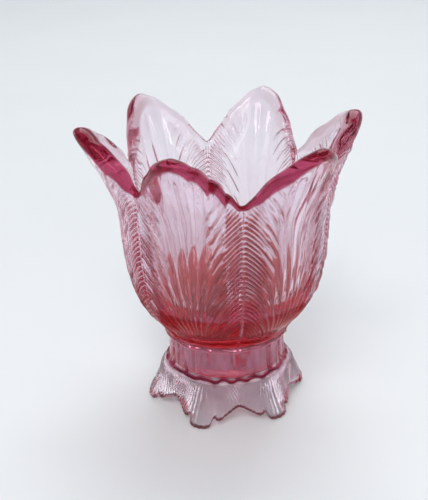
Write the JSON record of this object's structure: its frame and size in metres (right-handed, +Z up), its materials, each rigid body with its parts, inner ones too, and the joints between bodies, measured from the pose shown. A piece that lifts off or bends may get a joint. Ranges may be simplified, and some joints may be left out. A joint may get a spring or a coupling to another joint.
{
  "type": "footed tulip vase",
  "caption": "Small footed vase of rose-tinted pressed glass: a tulip bowl with flaring leaf-shaped petals on a solid collar and a toed foot.",
  "frame": {"origin": "on the vase's axis, in the plane that its toes stand on", "axes": "+Z up the axis; a seam between two petals, and the arch between two toes, face -Y; petals and toes lie at 30, 90 and 150 degrees each side of -Y"},
  "size_m": [0.111, 0.0986, 0.114],
  "materials": {
    "rose_glass": "fire-polished pressed glass, tinted rose"
  },
  "bodies": {
    "root": {"tulip_bowl": "rose_glass", "stem_collar": "rose_glass", "toed_foot": "rose_glass"}
  },
  "joints": []
}
